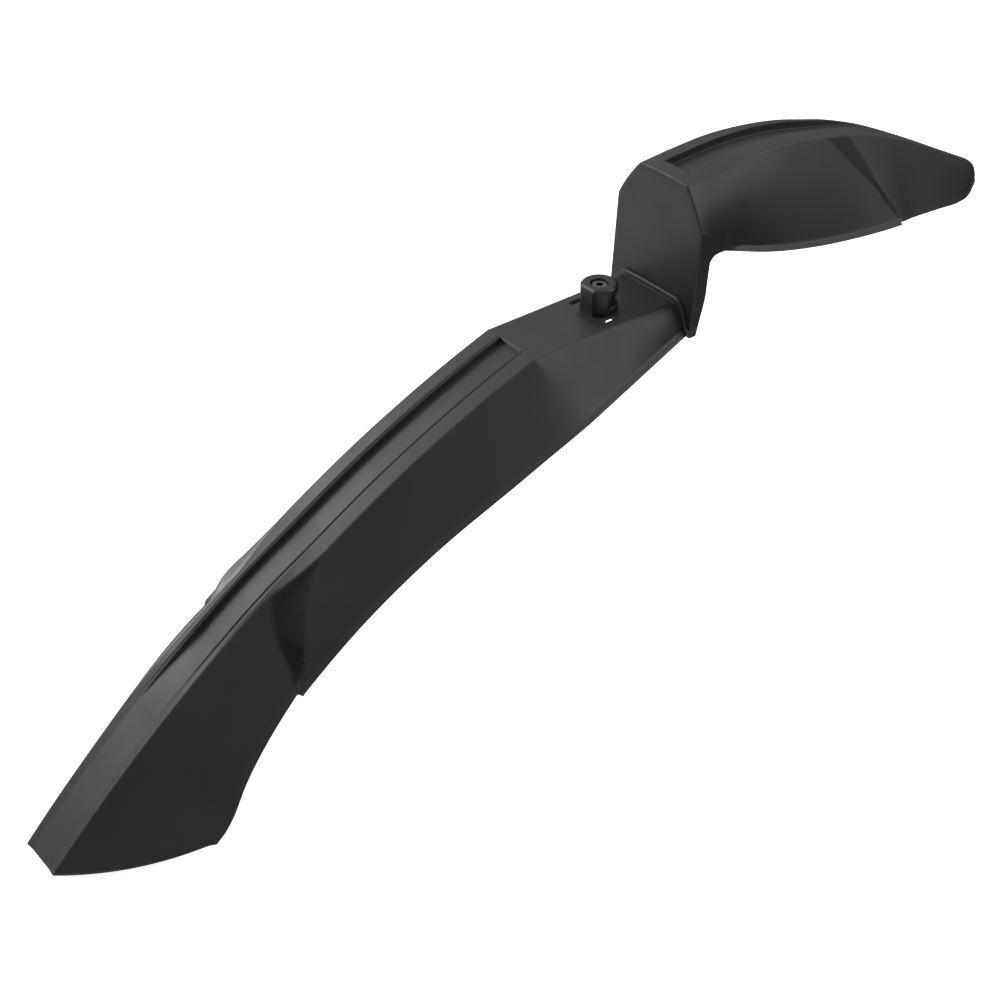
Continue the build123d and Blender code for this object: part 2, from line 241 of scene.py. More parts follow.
def zincSteel(name, finish):
    # plated steel whose tone clouds from near-black to a cool grey, fine turning marks around z
    material, tree = newMaterial(name)
    place = addNode(tree, "ShaderNodeTexCoord").outputs["Object"]
    cloud = addNode(
        tree, "ShaderNodeTexNoise", {"Scale": perMetre(finish["cloudMm"]), "Detail": 3.0}, {"Vector": place}
    ).outputs["Fac"]
    stretched = addNode(
        tree, "ShaderNodeMapping", {"Scale": finish["stretch"]}, {"Vector": place}
    ).outputs["Vector"]
    marks = addNode(
        tree, "ShaderNodeTexNoise", {"Scale": perMetre(finish["scratchMm"]), "Detail": 2.0},
        {"Vector": stretched},
    ).outputs["Fac"]
    tone = addNode(
        tree, "ShaderNodeMix",
        {"data_type": "RGBA", 6: linearColor(finish["dull"]), 7: linearColor(finish["pale"])}, {0: cloud},
    ).outputs[2]
    low, high = finish["rough"]
    rough = addNode(
        tree, "ShaderNodeMapRange", {"To Min": low, "To Max": high}, {"Value": marks}
    ).outputs["Result"]
    bump = addNode(
        tree, "ShaderNodeBump", {"Strength": finish["bump"], "Distance": finish["bumpMm"] * mm},
        {"Height": marks},
    ).outputs["Normal"]
    shader = addNode(
        tree, "ShaderNodeBsdfPrincipled", {"Metallic": 1.0},
        {"Base Color": tone, "Roughness": rough, "Normal": bump},
    )
    addNode(tree, "ShaderNodeOutputMaterial", None, {"Surface": shader.outputs["BSDF"]})
    return material


guardPlastic = mouldedPlastic("moulded polypropylene", guardFinish)
plugPlastic = mouldedPlastic("moulded nylon", plugFinish)
zinc = zincSteel("zinc-plated steel", zincFinish)
for name in ("plug_screw", "plug_washer", "plug_nut"):
    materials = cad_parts[name].data.materials
    materials.clear()
    materials.append(zinc)
print("materials done")


# rear blade with crown plate, top channel, facets and tail

# what blade and nose share; channelSpread is how much wider the channel is underneath, per wall
guard = {
    "wall": 2.4, "flare": 3.5, "lip": 2.2, "lean": math.tan(math.radians(3.6)), "front": 41.0,
    "channelHalf": 9.7, "channelFloor": 8.5, "channelDepth": 3.8, "channelSoft": 0.4, "channelSpread": 0.48,
    # fine groove beside the channel: middle, half width, depth
    "groove": (10.5, 0.8, 0.8),
    # rolled edge of the lip: drop, and how far it leans in for each millimetre of drop
    "edge": 0.4, "edgeLean": 0.35,
}
rolledEdge = np.array([-guard["edgeLean"], -1.0]) * guard["edge"]
bladeSet = {
    "radius": 760.0, "kink": 18.3, "crownRear": -65.0,
    "halfTop": 20.9, "lift": 0.5, "crown": 0.8, "tailBulge": 0.5,
    # bow of the blade's wall: angle, bow
    "bulge": ((18.3, -0.5), (27.2, -0.3), (30.3, 0.3), (31.5, 0.9), (32.5, 1.7), (33.2, 2.6), (33.8, 3.9),
              (34.4, 3.5), (35.2, 1.1)),
    # angle, rise, lip depth, lip half width
    "blade": ((18.3, 0.5, 35.2, 52.5), (22.4, 0.5, 34.0, 52.7), (27.2, 0.5, 31.3, 50.4),
              (31.5, 0.0, 29.6, 49.9), (35.9, -1.0, 29.8, 50.9)),
    # angle, rise, half top, dish, lip depth, lip half width
    "tail": ((29.0, -0.4, 17.0, -0.6, 27.5, 42.0), (30.3, 0.3, 16.2, -0.8, 28.0, 43.0),
             (33.2, 2.0, 14.5, -1.2, 29.0, 44.6),
             (36.0, 3.4, 14.6, -0.4, 29.0, 49.0), (39.5, 5.5, 15.5, 0.9, 33.4, 54.8),
             (41.2, 5.75, 15.3, 0.8, 37.9, 58.4), (42.0, 5.9, 15.2, 0.8, 39.2, 58.8),
             (48.5, 7.8, 14.8, 0.4, 42.0, 60.0)),
    # edges of the facet on the blade's wall and on the tail's: share of the way down, angle
    "facetFore": ((0, 30.34), (0.121, 31.21), (0.307, 32.13), (0.533, 32.95), (0.754, 33.65), (0.91, 34.39),
                  (1, 35.15)),
    "facetRear": ((0, 33.05), (0.151, 33.55), (0.402, 34.09), (0.578, 34.41), (0.764, 34.65), (0.91, 34.89),
                  (1, 35.25)),
    # angle and half width of the crease where the facet starts and ends; where the lip narrows
    "shoulder": (30.3, 20.9, 33.1, 14.5), "lipEnd": (35.2, 35.35),
    # least length of the facet in degrees; soft edges of its gloss and where the gloss ends at its foot
    "facetLeast": 0.05, "glossEdge": (0.1, 0.4), "glossEnd": (0.82, 0.97),
    # angle, share of the channel's depth
    "channel": ((36.0, 1), (39.5, 0)),
    # angle and rise of the tail's upper corner, lower corner and lip corner; sag of the line between
    "tailEnd": ((47.1, 7.8), (42.35, -39.6), (41.35, -38.3)), "tailSag": 3.8, "shearFrom": 35.9,
    # angle and count of the rows that look for the tail's end
    "probe": (49.5, 400),
    "crownFall": 0.2, "crownLift": 0.6, "crownDepth": 16.5, "crownHalfLow": 33.7, "crownBulge": 2.0,
    # height of the floor, half width, rear end, softness; then slot rear, front, near and far side
    "recess": (0.5, 17.5, -14.0, 1.0), "slot": (-10.0, -1.0, 11.2, 14.8),
    # distance behind the rear wall of the nose, height of the rim that stands against it
    "rim": ((0.0, 3.0), (1.0, 3.0), (1.4, 2.95), (1.8, 2.75), (2.05, 2.45), (2.2, 2.0), (2.24, 1.3),
            (2.28, 0.5), (2.31, 0.05), (2.34, 0.0), (2.8, 0.0)),
    # plain crown rows: distance behind the nose, share of the crown; rows before and after the fold
    "crownRun": (4.0, 0.985), "foldAhead": (0.8, 0.25, 0.04),
    "foldBehind": (0.0, 0.02, 0.06), "foldDone": 0.15,
    # rows over which the fold behind the crown is eased, columns over which that sets in, and passes
    "ease": (20, 25, 43, 70),
    "round": 0.8, "lipRound": 0.5, "topRound": 1.0, "lipReach": 0.8,
    "rows": (70, 60, (70, 60, 6), 84), "facetBreaks": (29.6, 34.2, 35.4, 35.9),
    # half widths of grid columns over the channel, offsets from the crease and from the lip's root
    "channelColumns": (7.0, 8.3, 8.45, 8.55, 8.7, 9.0, 9.4, 9.7, 10.0, 10.25, 10.5, 10.9, 11.3),
    "creaseColumns": (-1.2, -0.7, -0.35, 0.0, 0.35, 0.7), "rootColumns": (-0.7, -0.3, 0.0, 0.3, 0.7),
    # plain columns: start of the strip, gap left beside crease and root, counts on floor, strip, wall, lip
    "stripFrom": 12.1, "columnGap": 1.2, "columnCounts": (3, 5, 27, 3),
    # how far crease and root move in under the wall, per wall
    "creaseIn": 0.4, "rootIn": 0.5,
    # heights that stand for no top and for no end line
    "noTop": -500.0, "noLimit": -1000.0,
}
arcX = bladeSet["radius"] * math.sin(math.radians(bladeSet["kink"])) + bladeSet["crownRear"]
arcZ = -bladeSet["radius"] * math.cos(math.radians(bladeSet["kink"]))


def arcPoint(angle, rise):
    turn = np.radians(angle)
    reach = bladeSet["radius"] + rise
    return arcX - reach * np.sin(turn), arcZ + reach * np.cos(turn)


def guardHeights(side, halfTop, strip, depth, halfLow, bulge, inset):
    # heights over the crease of the top strip and of the side, where the side is the higher of the
    # bowed wall and the turned lip; each line is moved in by inset. Also the share of the way down
    flare, lip = guard["flare"], guard["lip"]
    tilt = -strip / (halfTop - guard["channelHalf"])
    top = strip + tilt * np.maximum(side - guard["channelHalf"], 0) - inset
    root = halfLow - flare
    slope = (lip - depth) / (root - halfTop)
    along = (side - halfTop) / (root - halfTop)
    bow = np.clip(along, 0, 1)
    steep = np.sqrt(1 + slope ** 2)
    wall = slope * (side - halfTop) + steep * (4 * bulge * bow * (1 - bow) - inset)
    turned = -depth - lip / flare * (side - halfLow) - inset * math.hypot(1, lip / flare)
    return top, softMax(wall, turned, bladeSet["lipRound"]), along


def channelCut(side, depth, inset):
    # depth of a channel with softened walls, wider on the underside
    spread = guard["channelSpread"] * inset
    low, high = guard["channelFloor"] + spread, guard["channelHalf"] + spread
    straight = np.clip((side - low) / (high - low), 0, 1)
    return depth * (1 - straight - guard["channelSoft"] * (rampUp(side, low, high) - straight))


def grooveCut(side, share, inset):
    # depth of the fine groove beside the channel, only in the outer skin
    middle, half, cut = guard["groove"]
    return cut * share * np.clip(1 - np.abs(side - middle) / half, 0, 1) * (inset == 0)


def bladeHeight(angle, side, inset):
    # blade and tail joined: the higher top, and a side that goes from the blade's wall to the tail's
    # across the facet, less the channel; also the facet's mark
    a, rise, depth, half = np.array(bladeSet["blade"]).T
    lift = hermite(angle, a, rise)
    bladeTop, bladeSide, bladeAlong = guardHeights(
        side, bladeSet["halfTop"], bladeSet["crown"], hermite(angle, a, depth) + lift,
        hermite(angle, a, half), lookUp(angle, bladeSet["bulge"]), inset,
    )
    a, rise, top, dish, depth, half = np.array(bladeSet["tail"]).T
    tailLift = hermite(angle, a, rise)
    tailTop, tailSide, tailAlong = guardHeights(
        side, hermite(angle, a, top), -hermite(angle, a, dish), hermite(angle, a, depth) + tailLift,
        hermite(angle, a, half), bladeSet["tailBulge"], inset,
    )
    fore = lookUp(bladeAlong, bladeSet["facetFore"])
    rear = np.maximum(lookUp(tailAlong, bladeSet["facetRear"]), fore + bladeSet["facetLeast"])
    share = np.clip((angle - fore) / (rear - fore), 0, 1)
    sides = (lift + bladeSide) * (1 - share) + (tailLift + tailSide) * share
    first, last = bladeSet["tail"][0][0], bladeSet["blade"][-1][0]
    bladeTop = np.where(angle > last, bladeSet["noTop"], lift + bladeTop)
    tailTop = np.where(angle < first, bladeSet["noTop"], tailLift + tailTop)
    tops = softMax(bladeTop, tailTop, bladeSet["topRound"])
    height = softMin(tops, sides, bladeSet["round"])
    edge, drop = bladeSet["glossEdge"]
    gloss = np.clip(share / edge, 0, 1) * np.clip((1 - share) / edge, 0, 1)
    gloss = gloss * np.clip((tops - sides) / drop, 0, 1) * (1 - rampUp(bladeAlong, *bladeSet["glossEnd"]))
    left = lookUp(angle, bladeSet["channel"])
    groove = grooveCut(side, left, inset)
    return height - channelCut(side, guard["channelDepth"] * left, inset) - groove, gloss


def bladeColumns(angle, inset):
    # half widths of the grid lines: they follow the channel, the crease, the lip's root and its edge
    a, _, _, half = np.array(bladeSet["blade"]).T
    low = hermite(angle, a, half)
    a, _, top, _, _, half = np.array(bladeSet["tail"]).T
    low = low + (hermite(angle, a, half) - low) * rampUp(angle, *bladeSet["lipEnd"])
    start, wide, end, narrow = bladeSet["shoulder"]
    crease = np.where(angle < end, np.interp(angle, (start, end), (wide, narrow)), hermite(angle, a, top))
    return gridColumns(crease, low, inset)


def gridColumns(crease, low, inset):
    s = bladeSet
    lipSlant = math.hypot(guard["flare"], guard["lip"]) / guard["lip"]
    low = low - inset * lipSlant
    root = low - guard["flare"] + s["rootIn"] * inset
    crease = crease - s["creaseIn"] * inset
    line = lambda a, b, count: a + (b - a) * np.linspace(0, 1, count, endpoint=False)
    zero = np.zeros_like(crease)
    channel, nearRoot = np.array(s["channelColumns"]), np.array(s["rootColumns"])
    gap = s["columnGap"]
    onFloor, onStrip, onWall, onLip = s["columnCounts"]
    return np.concatenate((
        line(zero, zero + channel[0], onFloor), zero + channel,
        line(zero + s["stripFrom"], crease - gap, onStrip), crease + np.array(s["creaseColumns"]),
        line(crease + gap, root + nearRoot[0], onWall), root + nearRoot,
        line(root + gap, low, onLip), low,
    ), axis=1)


def crownSkin(share, inset):
    # ruled between the rear wall of the nose and the blade's first section
    s = bladeSet
    lean = guard["lean"]
    level = s["crownLift"] - s["crownFall"]
    front = np.array([guard["front"] + lean * level, level])
    frontLow = np.array([guard["front"] - lean * s["crownDepth"], -s["crownDepth"]])
    _, _, depth, half = s["blade"][0]
    rear = np.array(arcPoint(s["kink"], s["lift"]))
    rearLow = np.array(arcPoint(s["kink"], -depth))
    share = share[:, None]
    top = front + (rear - front) * share
    low = frontLow + (rearLow - frontLow) * share
    up = top - low
    deep = np.linalg.norm(up, axis=1, keepdims=True)
    up = up / deep
    halfLow = s["crownHalfLow"] + (half - s["crownHalfLow"]) * share
    columns = gridColumns(s["halfTop"] + 0 * share, halfLow, inset)
    strip = s["crownFall"] + (s["crown"] - s["crownFall"]) * share
    bulge = s["crownBulge"] + (s["bulge"][0][1] - s["crownBulge"]) * share
    tops, sides, _ = guardHeights(columns, s["halfTop"], strip, deep, halfLow, bulge, inset)
    return top, up, columns, softMin(tops, sides, s["round"])


def crownSheet(share, inset, raised):
    top, up, side, height = crownSkin(share, inset)
    flat = np.stack((side, height), -1)
    along = np.gradient(flat, axis=1)
    normal = np.stack((-along[..., 1], along[..., 0]), -1)
    normal[:, 0] = (0.0, 1.0)  # straight up in the middle
    normal = normal / np.linalg.norm(normal, axis=2, keepdims=True)
    flat = flat + normal * raised[:, None, None]
    if not inset:
        flat = np.concatenate((flat, flat[:, -1:] + rolledEdge), axis=1)
    x = top[:, :1] + up[:, :1] * flat[..., 1]
    z = top[:, 1:] + up[:, 1:] * flat[..., 1]
    if not inset:
        sunk, halfWidth, back, soft = bladeSet["recess"]
        inside = rampUp(halfWidth - flat[..., 0], -soft, soft) * rampUp(x, back - soft, back + soft)
        z = z - (z - sunk) * inside * (raised[:, None] == 0)
    return np.stack((x, flat[..., 0], z), -1)


def tailLimit(x):
    # side view of the tail's lower end: a shallow hanging curve, then a short rise to the lip
    (ex, ez), (cx, cz), (lx, lz) = (np.array(arcPoint(*p)) for p in bladeSet["tailEnd"])
    t = np.clip((x - ex) / (cx - ex), 0, 1)
    hanging = ez + (cz - ez) * t - 4 * bladeSet["tailSag"] * t * (1 - t)
    rise = cz + (lz - cz) / (lx - cx) * (x - cx)
    return np.where(x < cx, hanging, np.where(x < lx, rise, bladeSet["noLimit"]))


def bladeSheet(angle, side, inset):
    height, gloss = bladeHeight(angle, side, inset)
    x, z = arcPoint(angle, height)
    return np.stack((x, side, z), -1), gloss


def easedFold(half, fold):
    # rows near the fold averaged with their neighbours, more so further down the wall
    reach, top, low, passes = bladeSet["ease"]
    near = np.clip(1 - np.abs(np.arange(len(half)) - fold) / reach, 0, 1)[1:-1, None, None]
    down = rampUp(np.arange(half.shape[1]), top, low)[None, :, None]
    for _ in range(passes):
        half[1:-1] += near * down * ((half[:-2] + half[2:]) / 2 - half[1:-1])
    return half


def wholeBlade(inset):
    # crown rows, blade rows, then tail rows stretched so that each column ends on the tail's end line
    rim = np.array(bladeSet["rim"])
    long = guard["front"] - bladeSet["crownRear"]
    crownRows, bladeRows, facetRows, tailRows = bladeSet["rows"]
    fold = 1 - np.array(bladeSet["foldAhead"]) / long
    start, end = bladeSet["crownRun"]
    share = np.concatenate((rim[:, 0] / long, np.linspace(start / long, end, crownRows), fold))
    raised = np.concatenate((rim[:, 1], np.zeros(crownRows + len(fold)))) * (inset == 0)
    crown = crownSheet(share, inset, raised)
    spread = lambda a, b, count: np.linspace(a, b, count, endpoint=False)
    breaks = bladeSet["facetBreaks"]
    kink = bladeSet["kink"]
    angle = np.concatenate((
        kink + np.array(bladeSet["foldBehind"]), spread(kink + bladeSet["foldDone"], breaks[0], bladeRows),
        *map(spread, breaks[:-1], breaks[1:], facetRows),
    ))[:, None]
    side = bladeColumns(angle, inset)
    blade, gloss = bladeSheet(angle + 0 * side, side, inset)
    probe = np.linspace(bladeSet["shearFrom"], *bladeSet["probe"])[:, None]
    side = bladeColumns(probe, inset)
    points, _ = bladeSheet(probe + 0 * side, side, inset)
    over = points[..., 2] - tailLimit(points[..., 0])
    last = np.argmax(over < 0, axis=0)
    column = np.arange(side.shape[1])
    before, after = over[last - 1, column], over[last, column]
    end = probe[last - 1, 0] + (probe[1, 0] - probe[0, 0]) * before / (before - after)
    step = np.linspace(0, 1, tailRows)[:, None]
    angle = bladeSet["shearFrom"] + (end[None, :] - bladeSet["shearFrom"]) * step
    side = np.stack([bladeColumns(angle[:, i:i + 1], inset)[:, i] for i in range(angle.shape[1])], axis=1)
    tail, _ = bladeSheet(angle, side, inset)
    rest = np.concatenate((blade, tail))
    marks = np.concatenate((np.zeros(crown.shape[:2])[:, :side.shape[1]], gloss, np.zeros(tail.shape[:2])))
    if not inset:
        rest = np.concatenate((rest, rest[:, -1:] + np.array([0.0, *rolledEdge])), axis=1)
    else:
        outward = np.array([0.0, bladeSet["lipReach"], 0.0])
        crown = np.concatenate((crown, crown[:, -1:] + outward), axis=1)
        rest = np.concatenate((rest, rest[:, -1:] + outward), axis=1)
    marks = np.concatenate((marks, marks[:, -1:]), axis=1)
    return bothSides(easedFold(np.concatenate((crown, rest)), len(crown)), marks)


def latchSlots(middle):
    x, y = middle[..., 0], np.abs(middle[..., 1])
    back, front, near, far = bladeSet["slot"]
    return (x > back) & (x < front) & (y > near) & (y < far)


def addShell(name, wholeSheet, openings, node):
    # outer and inner sheet of a moulding, joined along its edges and around its openings
    outer, gloss = wholeSheet(0.0)
    inner, _ = wholeSheet(guard["wall"])
    sheets, ribbons = shellFaces(openings((outer[:-1, :-1] + outer[1:, 1:]) / 2))
    points = np.concatenate((outer.reshape(-1, 3), inner.reshape(-1, 3)))
    marks = {"gloss": np.concatenate((gloss.ravel(), 0 * gloss.ravel()))}
    addPiece(name, points, sheets, ribbons, node, guardPlastic, marks)


addShell("blade_shell", wholeBlade, latchSlots, "rear_blade")


# front nose: rear wall with flanges, hood, facets and tip

noseSet = {
    "height": 71.4, "shoulder": 47.6, "half": 19.8, "low": 35.4, "bulge": 0.9,
    "root": 21.0, "rootRise": 1.6, "crown": 0.6, "ridge": 2.4,
    "rootBow": 4.4, "rootFade": 84.0, "shoulderFade": (0.0, 21.0),
    # crest run, height and half width, lip run, height and half width, bow of the side wall
    "hood": ((66.55, 73, 19.8, 63.95, 31.0, 35.4, 4.4), (97, 74.3, 19.3, 93, 24.2, 43.9, 2.6),
             (128, 72.4, 17.9, 125, 17.8, 47.3, 1.2), (145, 69.9, 17.5, 142.5, 14.7, 47.8, 1.0),
             (161, 66.6, 16.8, 160, 12, 48, 0.8), (195, 56.0, 14.4, 190, 8.1, 47.9, 0.6),
             (217, 47.2, 12.9, 207, 6, 47, 0.6)),
    # crest run, height and half width, lip run, height and half width
    "tip": ((150, 69, 17, 165, 14, 43), (186, 60.4, 14.9, 194, 10.5, 46.3),
            (204, 54.6, 13.6, 207, 7.2, 45.3), (222, 47.8, 12.1, 226, 2.3, 40),
            (262, 29.5, 8.1, 258, -5, 33.2), (298, 11.3, 5.1, 293.4, -14.7, 23.2),
            (318, 1.1, 4.1, 311.4, -18.7, 16), (331, -5.4, 3.4, 328.5, -17.3, 8)),
    # crest run, lip run of the same row
    "tipLips": ((217, 207), (240, 235), (262, 258), (298, 293.4), (318, 311.4), (331, 328.5)),
    "tipFlare": 1.6, "tipBulge": 0.6, "tipGap": 0.7,
    # crest run, share of the half width inside the strip; crest run, height of the middle over the crease
    "tipStrip": ((250, 0.78), (290, 0.4)), "tipCrown": ((160, 2.4), (205, 1.2), (240, 0.6)),
    # share of the way from rear wall to hood, distance ahead of the wall and height of the flange's edge
    "flange": ((0.0, 0.9, -18.5), (0.2, 5.0, -18.5), (0.42, 9.5, 5.0), (0.58, 9.5, 25.0), (0.63, 9.96, 27.3),
               (0.68, 11.26, 29.24), (0.74, 13.2, 30.54), (0.80, 15.5, 31.0), (1.0, 21.0, 31.0)),
    # rounded edge of the rear wall: distance ahead of its face, distance in from the outline
    "edge": ((0.0, 0.9), (0.08, 0.55), (0.25, 0.26), (0.55, 0.08)), "edgeInside": 0.5,
    # arch over the crown: top height and half width, foot height and half width, bow, flare; crown, strip
    "arch": (-2.7, 19.0, -18.5, 31.5, 1.5, 2.4), "archTop": (0.02, 9.0),
    # edges of the facet on the hood's wall and on the tip's: share of the way down, crest run of the row
    "facetRear": ((0, 161.9), (0.186, 172.5), (0.372, 182.7), (0.553, 195.2), (0.628, 200.5), (0.779, 206.9),
                  (0.879, 212.6), (1, 217.0)),
    "facetFore": ((0, 185.1), (0.146, 189.3), (0.312, 194.8), (0.457, 198.7), (0.608, 201.4), (0.698, 203.6),
                  (0.849, 209.9), (0.945, 215.8), (1, 217.5)),
    # least length of the facet, soft edge of its gloss, share of the way down at which the gloss ends
    "facetLeast": 0.5, "glossEdge": 0.05, "facetEnd": 0.68,
    # rounded front: length, crest run of its start, level and width of the line it closes on, row turns
    "capReach": 11.0, "capFrom": 322.5, "capLevel": 0.45, "capWidth": 0.55,
    "capTurns": (10, 20, 30, 40, 50, 60, 70, 79, 85, 90),
    # pocket: distance ahead of the wall, run to which it keeps its depth, run at which it ends
    "pocket": (9.0, 165.0, 248.0), "pocketDepth": 5.6, "pocketSoft": 0.3,
    # rounding of the strip's edge, the crease and the lip's root, at most a share of a leg; points on each
    "round": (0.4, 1.2, 0.8), "roundMost": 0.4, "turnCounts": (3, 7, 5),
    # shares of the top and of the strip that have points, counts for wall and lip
    "topShares": (0, 0.35, 0.7, 0.89, 0.905, 0.916, 0.93, 0.96),
    "stripShares": (0.045, 0.09, 0.14, 0.3, 0.53, 0.77), "wallCount": 28, "lipCount": 9,
    "rows": (12, 30, 52, 88, 84),
}
runs = {key: np.array(noseSet[key], float).T for key in ("hood", "tip", "tipLips", "flange", "edge")}
beforeCrease = len(noseSet["topShares"]) + noseSet["turnCounts"][0] + len(noseSet["stripShares"])
creaseColumn = beforeCrease + noseSet["turnCounts"][1] // 2


def movedIn(corners, inset):
    # each corner after both of its legs have moved into the wall; the lip still ends level
    leg = np.diff(corners, axis=1)
    leg = leg / np.linalg.norm(leg, axis=2, keepdims=True)
    side = np.stack((leg[..., 1], -leg[..., 0]), -1)
    first = np.concatenate((side[:, :1], side), axis=1)
    last = np.concatenate((side, side[:, -1:]), axis=1)
    moved = corners + inset * (first + last) / (1 + np.sum(first * last, axis=2, keepdims=True))
    over = (corners[:, -1, 1] - moved[:, -1, 1]) / leg[:, -1, 1]
    moved[:, -1] += leg[:, -1] * over[:, None]
    return moved


def noseOutline(row, inset):
    # half outline: top, strip, bowed side wall and lip, with corners rounded by quadratic curves
    s = noseSet
    deep = row["deep"]
    zero = 0 * deep
    pair = lambda y, h: np.stack((y + zero, h + zero), -1)
    corners = np.stack((
        pair(zero, row["crown"]), pair(row["strip"], row["crown"]), pair(row["half"], 0),
        pair(row["low"] - row["flare"], row["lip"] - deep), pair(row["low"], -deep),
    ), axis=1)
    if inset:
        corners = movedIn(corners, inset)
    before, after = [], []
    for k, cut in zip((1, 2, 3), s["round"]):
        back = corners[:, k - 1] - corners[:, k]
        ahead = corners[:, k + 1] - corners[:, k]
        for leg, store in ((back, before), (ahead, after)):
            length = np.linalg.norm(leg, axis=1, keepdims=True)
            store.append(corners[:, k] + leg / length * np.minimum(cut, s["roundMost"] * length))
    line = lambda a, b, t: a[:, None] + (b - a)[:, None] * np.asarray(t)[None, :, None]

    def turn(k):
        t = np.linspace(0, 1, s["turnCounts"][k - 1])[None, :, None]
        a, c, b = before[k - 1][:, None], corners[:, k][:, None], after[k - 1][:, None]
        return (1 - t) ** 2 * a + 2 * t * (1 - t) * c + t * t * b

    t = np.linspace(0, 1, s["wallCount"])[1:-1]
    wall = line(after[1], before[2], t)
    chord = before[2] - after[1]
    out = np.stack((-chord[:, 1], chord[:, 0]), -1) / np.linalg.norm(chord, axis=1, keepdims=True)
    wall = wall + (4 * row["bulge"][:, None] * t * (1 - t))[..., None] * out[:, None]
    return np.concatenate((
        line(corners[:, 0], before[0], s["topShares"]), turn(1),
        line(after[0], before[1], s["stripShares"]), turn(2), wall, turn(3),
        line(after[2], corners[:, 4], np.linspace(0, 1, s["lipCount"])[1:]),
    ), axis=1)


def fullRow(row):
    # fills in what follows from the crest and lip points of each row
    count = len(row["xc"])
    row = {key: np.broadcast_to(np.asarray(value, float), (count,)) for key, value in row.items()}
    run, rise = row["xc"] - row["xl"], row["zc"] - row["zl"]
    row["deep"] = np.hypot(run, rise)
    row["up"] = np.stack((run, rise), -1) / row["deep"][:, None]
    return row


def noseSheet(row, inset):
    flat = noseOutline(row, inset)
    x = row["xc"][:, None] + row["up"][:, :1] * flat[..., 1]
    z = row["zc"][:, None] + row["up"][:, 1:] * flat[..., 1]
    return np.stack((x, flat[..., 0], z), -1)


def legRows(ahead, foot, footZ):
    # rear wall's outline carried forward; foot is the flange's edge that the row ends on
    s = noseSet
    zc = s["height"] + s["rootRise"] * ahead / s["root"]
    xc = guard["front"] + guard["lean"] * zc + ahead
    row = fullRow({
        "xc": xc, "zc": zc, "xl": guard["front"] + guard["lean"] * footZ + foot, "zl": footZ,
        "half": s["half"], "low": s["low"], "bulge": s["bulge"], "flare": 0.0, "strip": guard["channelHalf"],
        "crown": s["crown"] + (s["ridge"] - s["crown"]) * np.clip(ahead / s["pocket"][0], 0, 1),
    })
    row["lip"] = row["deep"] - (zc - s["shoulder"]) / row["up"][:, 1]
    return row


def hoodRows(xc):
    _, *parts = runs["hood"]
    zc, half, xl, zl, low, bulge = (hermite(xc, runs["hood"][0], part) for part in parts)
    grown = rampUp(xc, runs["hood"][0][0], noseSet["rootFade"])
    return fullRow({
        "xc": xc, "zc": zc, "half": half, "xl": xl, "zl": zl, "low": low, "bulge": bulge,
        "flare": guard["flare"] * grown, "lip": guard["lip"],
        "crown": noseSet["ridge"], "strip": guard["channelHalf"],
    })


def tipRows(xc, xl):
    crestX, crestZ, crestHalf, lipX, lipZ, lipHalf = runs["tip"]
    half = hermite(xc, crestX, crestHalf)
    return fullRow({
        "xc": xc, "zc": hermite(xc, crestX, crestZ), "half": half, "xl": xl, "zl": hermite(xl, lipX, lipZ),
        "low": hermite(xl, lipX, lipHalf), "bulge": noseSet["tipBulge"], "flare": noseSet["tipFlare"],
        "lip": guard["lip"], "crown": lookUp(xc, noseSet["tipCrown"]),
        "strip": np.minimum(guard["channelHalf"], half * lookUp(xc, noseSet["tipStrip"])),
    })


def wallShare(row):
    # share of the way down the side wall for each column: 0 on the top, 1 on the lip
    flat = noseOutline(row, 0.0)
    half, root = row["half"][:, None], (row["low"] - row["flare"])[:, None]
    return np.clip((flat[..., 0] - half) / (root - half), 0, 1)


def hoodAndTip(xc, inset):
    # each row goes from the hood's outline to the tip's across the facet
    row = hoodRows(xc)
    tipRow = tipRows(xc, row["xl"])
    hood = noseSheet(row, inset)
    tip = noseSheet(tipRow, inset)
    rear = lookUp(wallShare(row), noseSet["facetRear"])
    down = wallShare(tipRow)
    fore = np.maximum(lookUp(down, noseSet["facetFore"]), rear + noseSet["facetLeast"])
    share = np.clip((xc[:, None] - rear) / (fore - rear), 0, 1)
    edge = noseSet["glossEdge"]
    gloss = np.clip(share / edge, 0, 1) * np.clip((1 - share) / edge, 0, 1)
    gloss = gloss * (down > 0) * (down < noseSet["facetEnd"])
    return hood + (tip - hood) * share[..., None], gloss


